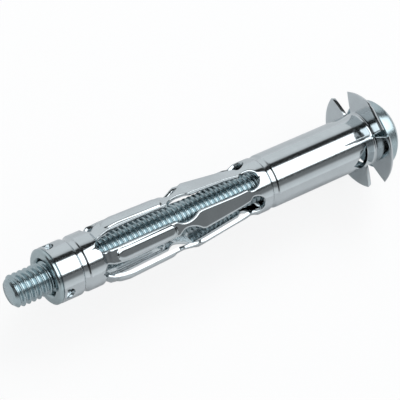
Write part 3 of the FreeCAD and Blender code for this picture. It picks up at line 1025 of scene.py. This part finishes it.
def make_world(stage):
    """A pale studio: even light, bands of light and dark for the metal, and white to the camera."""
    world = bpy.data.worlds.new("studio")
    bpy.context.scene.world = world
    world.use_nodes = True
    nodes, links = world.node_tree.nodes, world.node_tree.links
    place = nodes.new("ShaderNodeTexCoord")
    split = nodes.new("ShaderNodeSeparateXYZ")
    links.new(place.outputs["Generated"], split.inputs[0])
    turn = nodes.new("ShaderNodeMath")
    turn.operation = "ARCTAN2"
    links.new(split.outputs["Z"], turn.inputs[0])
    links.new(split.outputs["Y"], turn.inputs[1])
    share = nodes.new("ShaderNodeMapRange")
    share.inputs["From Min"].default_value = -math.pi
    share.inputs["From Max"].default_value = math.pi
    links.new(turn.outputs["Value"], share.inputs["Value"])
    ramp = nodes.new("ShaderNodeValToRGB")
    links.new(share.outputs["Result"], ramp.inputs["Fac"])
    bands = ramp.color_ramp
    bands.elements.remove(bands.elements[0])
    bands.elements[0].position = 0
    bands.elements[0].color = FIRST_BAND
    for degrees, level in BANDS:
        element = bands.elements.new((degrees + 180) / 360)
        element.color = (*[level * tint for tint in BAND_TINT], 1)
    off_middle = nodes.new("ShaderNodeMath")
    off_middle.operation = "SUBTRACT"
    off_middle.inputs[1].default_value = ENDS_MIDDLE
    links.new(split.outputs["X"], off_middle.inputs[0])
    reach = nodes.new("ShaderNodeMath")
    reach.operation = "ABSOLUTE"
    links.new(off_middle.outputs["Value"], reach.inputs[0])
    ends = nodes.new("ShaderNodeMapRange")
    ends.inputs["From Min"].default_value = ENDS_START
    ends.inputs["From Max"].default_value = ENDS_FULL
    ends.inputs["To Min"].default_value = 1
    ends.inputs["To Max"].default_value = ENDS_LEVEL
    links.new(reach.outputs["Value"], ends.inputs["Value"])
    metal = nodes.new("ShaderNodeVectorMath")
    metal.operation = "SCALE"
    links.new(ramp.outputs["Color"], metal.inputs[0])
    links.new(ends.outputs["Result"], metal.inputs["Scale"])
    path = nodes.new("ShaderNodeLightPath")
    colour = (stage.plain_light,) * 3 + (1,)
    for ray, seen in (("Is Glossy Ray", metal.outputs["Vector"]), ("Is Camera Ray", (1, 1, 1, 1))):
        mix = nodes.new("ShaderNodeMix")
        mix.data_type = "RGBA"
        links.new(path.outputs[ray], mix.inputs["Factor"])
        for value, socket in ((colour, mix.inputs["A"]), (seen, mix.inputs["B"])):
            if isinstance(value, tuple):
                socket.default_value = value
            else:
                links.new(value, socket)
        colour = mix.outputs["Result"]
    links.new(colour, nodes["Background"].inputs["Color"])


def make_floor(stage):
    """A pale floor that the camera sees as white, with the object's faint shadow on it."""
    height = cad_bounds[0][2] - FLOOR_GAP
    mesh = bpy.data.meshes.new("floor")
    half = FLOOR_HALF
    corners = [(-half, -half, height), (half, -half, height), (half, half, height), (-half, half, height)]
    mesh.from_pydata(corners, [], [(0, 1, 2, 3)])
    floor = bpy.data.objects.new("floor", mesh)
    bpy.context.scene.collection.objects.link(floor)
    material = bpy.data.materials.new("pale_floor")
    material.use_nodes = True
    nodes, links = material.node_tree.nodes, material.node_tree.links
    shader = nodes["Principled BSDF"]
    shader.inputs["Base Color"].default_value = FLOOR_COLOUR
    shader.inputs["Roughness"].default_value = 0.9
    shader.inputs["Specular IOR Level"].default_value = 0.0
    glow = nodes.new("ShaderNodeEmission")
    glow.inputs["Strength"].default_value = FLOOR_GLOW
    path = nodes.new("ShaderNodeLightPath")
    share = nodes.new("ShaderNodeMath")
    share.operation = "MULTIPLY"
    share.inputs[1].default_value = 1 - stage.shadow
    mix = nodes.new("ShaderNodeMixShader")
    links.new(path.outputs["Is Camera Ray"], share.inputs[0])
    links.new(share.outputs["Value"], mix.inputs["Fac"])
    links.new(shader.outputs["BSDF"], mix.inputs[1])
    links.new(glow.outputs["Emission"], mix.inputs[2])
    links.new(mix.outputs["Shader"], nodes["Material Output"].inputs["Surface"])
    mesh.materials.append(material)


def make_lamp():
    """One large soft lamp above the anchor, which the metal doesn't mirror."""
    data = bpy.data.lights.new("soft_lamp", "AREA")
    data.energy = LAMP_POWER
    data.size = LAMP_SIZE
    lamp = bpy.data.objects.new("soft_lamp", data)
    lamp.location = LAMP_PLACE
    lamp.rotation_euler = Vector(lamp.location).to_track_quat("Z", "Y").to_euler()
    lamp.visible_glossy = False
    bpy.context.scene.collection.objects.link(lamp)


class ANCHOR_PT_panel(bpy.types.Panel):
    """Buttons for each piece and the stage"""

    bl_idname = "ANCHOR_PT_panel"
    bl_label = "Hollow wall anchor"
    bl_space_type = "VIEW_3D"
    bl_region_type = "UI"
    bl_category = "Anchor"

    def draw(self, context):
        for operator in OPERATORS:
            self.layout.operator(operator.bl_idname)
        for group in GROUPS:
            box = self.layout.box()
            settings = getattr(context.scene, group)
            for name in settings.__annotations__:
                box.prop(settings, name)


GROUPS = {"anchor_sizes": AnchorSizes, "anchor_finish": AnchorFinish, "anchor_stage": AnchorStage}
OPERATORS = (
    ANCHOR_OT_stage, ANCHOR_OT_plating, ANCHOR_OT_sleeve, ANCHOR_OT_nut, ANCHOR_OT_screw,
)


def register():
    """Register the settings, the operators and the panel."""
    for name, group in GROUPS.items():
        bpy.utils.register_class(group)
        setattr(bpy.types.Scene, name, PointerProperty(type=group))
    for part in (*OPERATORS, ANCHOR_PT_panel):
        bpy.utils.register_class(part)


def unregister():
    """Undo register."""
    for part in reversed((*OPERATORS, ANCHOR_PT_panel)):
        bpy.utils.unregister_class(part)
    for name, group in GROUPS.items():
        delattr(bpy.types.Scene, name)
        bpy.utils.unregister_class(group)


def main():
    """Build everything in order."""
    register()
    bpy.ops.anchor.stage()
    bpy.ops.anchor.plating()
    bpy.ops.anchor.sleeve()
    bpy.ops.anchor.nut()
    bpy.ops.anchor.screw()


if __name__ == "__main__":
    main()
